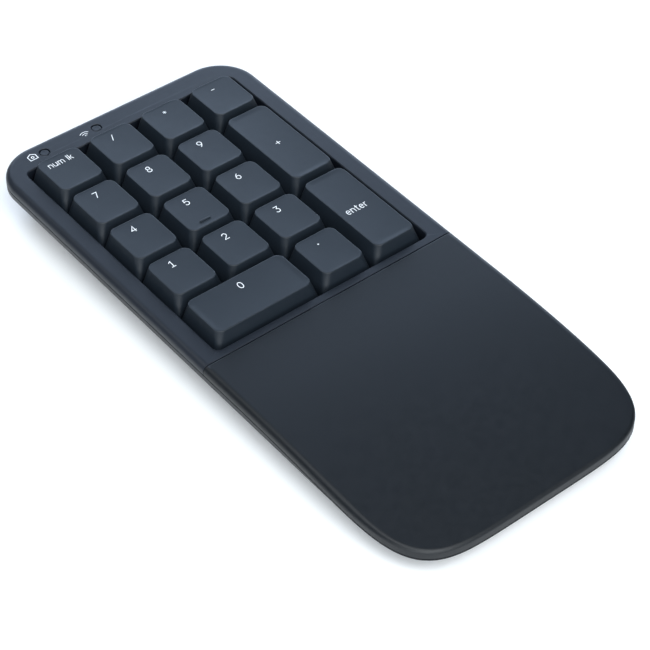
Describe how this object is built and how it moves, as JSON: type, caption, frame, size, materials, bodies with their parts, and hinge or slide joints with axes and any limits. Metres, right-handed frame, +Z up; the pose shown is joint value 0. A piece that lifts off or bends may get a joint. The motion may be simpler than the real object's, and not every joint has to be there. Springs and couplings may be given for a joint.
{
  "type": "numeric keypad",
  "caption": "Wireless numeric keypad with a deep sloping palm rest, sculpted rubber-dome keys, indicator windows and a battery bay underneath.",
  "frame": {"origin": "on the table, under the middle of the object's bounding box", "axes": "+X to the right of the person typing, +Y towards the back (the top row of keys), +Z up"},
  "size_m": [0.0906, 0.1978, 0.0193],
  "materials": {
    "case_top": "satin slate, fine texture",
    "palm_rest": "satin slate, a shade darker",
    "case_bottom": "satin dark slate",
    "keycap": "satin slate with white printed legends",
    "frame_plastic": "matt black moulding",
    "silicone": "translucent silicone",
    "foot_rubber": "matt black",
    "film": "clear polyester with silver tracks",
    "steel": "zinc plated sheet",
    "wire": "drawn spring wire",
    "contact": "nickel plated",
    "circuit_board": "green solder mask",
    "chip": "moulded black",
    "led": "clear lens",
    "window": "smoked, translucent",
    "control": "moulded black",
    "cell": "plain printed jacket, nickel ends"
  },
  "bodies": {
    "case": {"bottom_case": "case_bottom", "top_case": "case_top", "palm_rest_cover": "palm_rest", "key_guide_frame": "frame_plastic", "membrane_sheet": "film", "base_plate": "steel", "main_circuit_board": "circuit_board", "board_components": "chip", "indicator_board": "circuit_board", "status_leds": "led", "status_windows": "window", "indicator_cable": "film", "power_switch_body": "steel", "connect_switch": "steel", "battery_cells": "cell", "battery_contacts": "contact", "rubber_feet": "foot_rubber", "case_screws": "steel", "dome_num_lock": "silicone", "dome_divide": "silicone", "dome_multiply": "silicone", "dome_minus": "silicone", "dome_7": "silicone", "dome_8": "silicone", "dome_9": "silicone", "dome_plus": "silicone", "dome_4": "silicone", "dome_5": "silicone", "dome_6": "silicone", "dome_1": "silicone", "dome_2": "silicone", "dome_3": "silicone", "dome_enter": "silicone", "dome_0": "silicone", "dome_decimal": "silicone"},
    "key_num_lock": {"key_num_lock": "keycap"},
    "key_divide": {"key_divide": "keycap"},
    "key_multiply": {"key_multiply": "keycap"},
    "key_minus": {"key_minus": "keycap"},
    "key_7": {"key_7": "keycap"},
    "key_8": {"key_8": "keycap"},
    "key_9": {"key_9": "keycap"},
    "key_plus": {"key_plus": "keycap"},
    "key_4": {"key_4": "keycap"},
    "key_5": {"key_5": "keycap"},
    "key_6": {"key_6": "keycap"},
    "key_1": {"key_1": "keycap"},
    "key_2": {"key_2": "keycap"},
    "key_3": {"key_3": "keycap"},
    "key_enter": {"key_enter": "keycap"},
    "key_0": {"key_0": "keycap"},
    "key_decimal": {"key_decimal": "keycap"},
    "stabiliser_plus": {"stabiliser_plus": "wire"},
    "stabiliser_enter": {"stabiliser_enter": "wire"},
    "stabiliser_0": {"stabiliser_0": "wire"},
    "power_switch_knob": {"power_switch_knob": "control"},
    "connect_button": {"connect_button": "control"},
    "battery_door": {"battery_door": "case_bottom"}
  },
  "joints": [
    {"name": "press_num_lock", "type": "slide", "parent": "case", "child": "key_num_lock", "axis": [0, -0.0175, 0.9998], "range_m": [-0.0025, 0], "stiffness_N_per_m": 200, "springref_m": 0.0006, "deforming": ["dome_num_lock"]},
    {"name": "press_divide", "type": "slide", "parent": "case", "child": "key_divide", "axis": [0, -0.0175, 0.9998], "range_m": [-0.0025, 0], "stiffness_N_per_m": 200, "springref_m": 0.0006, "deforming": ["dome_divide"]},
    {"name": "press_multiply", "type": "slide", "parent": "case", "child": "key_multiply", "axis": [0, -0.0175, 0.9998], "range_m": [-0.0025, 0], "stiffness_N_per_m": 200, "springref_m": 0.0006, "deforming": ["dome_multiply"]},
    {"name": "press_minus", "type": "slide", "parent": "case", "child": "key_minus", "axis": [0, -0.0175, 0.9998], "range_m": [-0.0025, 0], "stiffness_N_per_m": 200, "springref_m": 0.0006, "deforming": ["dome_minus"]},
    {"name": "press_7", "type": "slide", "parent": "case", "child": "key_7", "axis": [0, -0.0175, 0.9998], "range_m": [-0.0025, 0], "stiffness_N_per_m": 200, "springref_m": 0.0006, "deforming": ["dome_7"]},
    {"name": "press_8", "type": "slide", "parent": "case", "child": "key_8", "axis": [0, -0.0175, 0.9998], "range_m": [-0.0025, 0], "stiffness_N_per_m": 200, "springref_m": 0.0006, "deforming": ["dome_8"]},
    {"name": "press_9", "type": "slide", "parent": "case", "child": "key_9", "axis": [0, -0.0175, 0.9998], "range_m": [-0.0025, 0], "stiffness_N_per_m": 200, "springref_m": 0.0006, "deforming": ["dome_9"]},
    {"name": "press_plus", "type": "slide", "parent": "case", "child": "key_plus", "axis": [0, -0.0175, 0.9998], "range_m": [-0.0025, 0], "stiffness_N_per_m": 200, "springref_m": 0.0006, "deforming": ["dome_plus"]},
    {"name": "press_4", "type": "slide", "parent": "case", "child": "key_4", "axis": [0, -0.0175, 0.9998], "range_m": [-0.0025, 0], "stiffness_N_per_m": 200, "springref_m": 0.0006, "deforming": ["dome_4"]},
    {"name": "press_5", "type": "slide", "parent": "case", "child": "key_5", "axis": [0, -0.0175, 0.9998], "range_m": [-0.0025, 0], "stiffness_N_per_m": 200, "springref_m": 0.0006, "deforming": ["dome_5"]},
    {"name": "press_6", "type": "slide", "parent": "case", "child": "key_6", "axis": [0, -0.0175, 0.9998], "range_m": [-0.0025, 0], "stiffness_N_per_m": 200, "springref_m": 0.0006, "deforming": ["dome_6"]},
    {"name": "press_1", "type": "slide", "parent": "case", "child": "key_1", "axis": [0, -0.0175, 0.9998], "range_m": [-0.0025, 0], "stiffness_N_per_m": 200, "springref_m": 0.0006, "deforming": ["dome_1"]},
    {"name": "press_2", "type": "slide", "parent": "case", "child": "key_2", "axis": [0, -0.0175, 0.9998], "range_m": [-0.0025, 0], "stiffness_N_per_m": 200, "springref_m": 0.0006, "deforming": ["dome_2"]},
    {"name": "press_3", "type": "slide", "parent": "case", "child": "key_3", "axis": [0, -0.0175, 0.9998], "range_m": [-0.0025, 0], "stiffness_N_per_m": 200, "springref_m": 0.0006, "deforming": ["dome_3"]},
    {"name": "press_enter", "type": "slide", "parent": "case", "child": "key_enter", "axis": [0, -0.0175, 0.9998], "range_m": [-0.0025, 0], "stiffness_N_per_m": 200, "springref_m": 0.0006, "deforming": ["dome_enter"]},
    {"name": "press_0", "type": "slide", "parent": "case", "child": "key_0", "axis": [0, -0.0175, 0.9998], "range_m": [-0.0025, 0], "stiffness_N_per_m": 200, "springref_m": 0.0006, "deforming": ["dome_0"]},
    {"name": "press_decimal", "type": "slide", "parent": "case", "child": "key_decimal", "axis": [0, -0.0175, 0.9998], "range_m": [-0.0025, 0], "stiffness_N_per_m": 200, "springref_m": 0.0006, "deforming": ["dome_decimal"]},
    {"name": "level_plus", "type": "hinge", "parent": "case", "child": "stabiliser_plus", "pos_m": [0.02258, 0.05024, 0.00917], "axis": [0, 0.9998, 0.0175], "range_deg": [0, 24.8]},
    {"name": "level_enter", "type": "hinge", "parent": "case", "child": "stabiliser_enter", "pos_m": [0.02258, 0.01214, 0.0085], "axis": [0, 0.9998, 0.0175], "range_deg": [0, 24.8]},
    {"name": "level_0", "type": "hinge", "parent": "case", "child": "stabiliser_0", "pos_m": [-0.01905, -0.00338, 0.00823], "axis": [-1, 0, 0], "range_deg": [0, 24.8]},
    {"name": "power_slide", "type": "slide", "parent": "case", "child": "power_switch_knob", "axis": [1, 0, 0], "range_m": [0, 0.002]},
    {"name": "connect_press", "type": "slide", "parent": "case", "child": "connect_button", "axis": [0, -0.0175, 0.9998], "range_m": [0, 0.0005], "stiffness_N_per_m": 400, "springref_m": -0.0005},
    {"name": "battery_door_swing", "type": "hinge", "parent": "case", "child": "battery_door", "pos_m": [0, -0.03725, 0.0019], "axis": [-1, 0, 0], "range_deg": [0, 80]}
  ],
  "couplings": [
    {"joint": "level_plus", "follows": "press_plus", "rad_per_m": -171.6},
    {"joint": "level_enter", "follows": "press_enter", "rad_per_m": -171.6},
    {"joint": "level_0", "follows": "press_0", "rad_per_m": -171.6}
  ]
}
